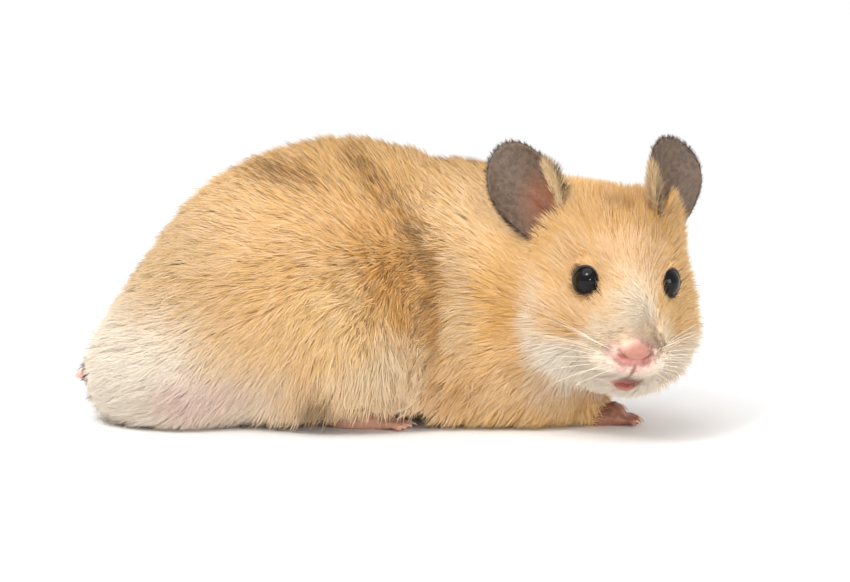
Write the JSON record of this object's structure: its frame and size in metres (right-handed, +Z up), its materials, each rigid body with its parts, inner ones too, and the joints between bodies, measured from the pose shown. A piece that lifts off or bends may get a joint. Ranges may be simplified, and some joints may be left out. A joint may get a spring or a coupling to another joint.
{
  "type": "syrian hamster model",
  "caption": "Still, life-size model of a golden Syrian hamster, crouched on its belly with its head turned to its right.",
  "frame": {"origin": "on the floor, under the belly, on the flat that the trunk rests on", "axes": "+X from the tail to the forepaws, +Y to the animal's left, +Z up; the head is turned to face -Y"},
  "size_m": [0.13, 0.0694, 0.0601],
  "materials": {
    "coat": "soft short fur, golden above and cream below",
    "bare_skin": "thin pink skin with sparse fine hair",
    "ear": "grey-brown skin with a down of short hairs",
    "eye": "wet, polished black",
    "claw": "smooth pale horn"
  },
  "bodies": {
    "root": {"trunk": "coat", "neck": "coat", "head": "coat", "lower_jaw": "coat", "nose": "bare_skin", "tongue": "bare_skin", "eye_right": "eye", "eye_left": "eye", "ear_right": "ear", "ear_left": "ear", "tail": "bare_skin", "hind_leg_right": "coat", "hind_leg_left": "coat", "foreleg_right": "coat", "foreleg_left": "coat", "hindfoot_right": "bare_skin", "hindfoot_left": "bare_skin", "forepaw_right": "bare_skin", "forepaw_left": "bare_skin"}
  },
  "joints": []
}
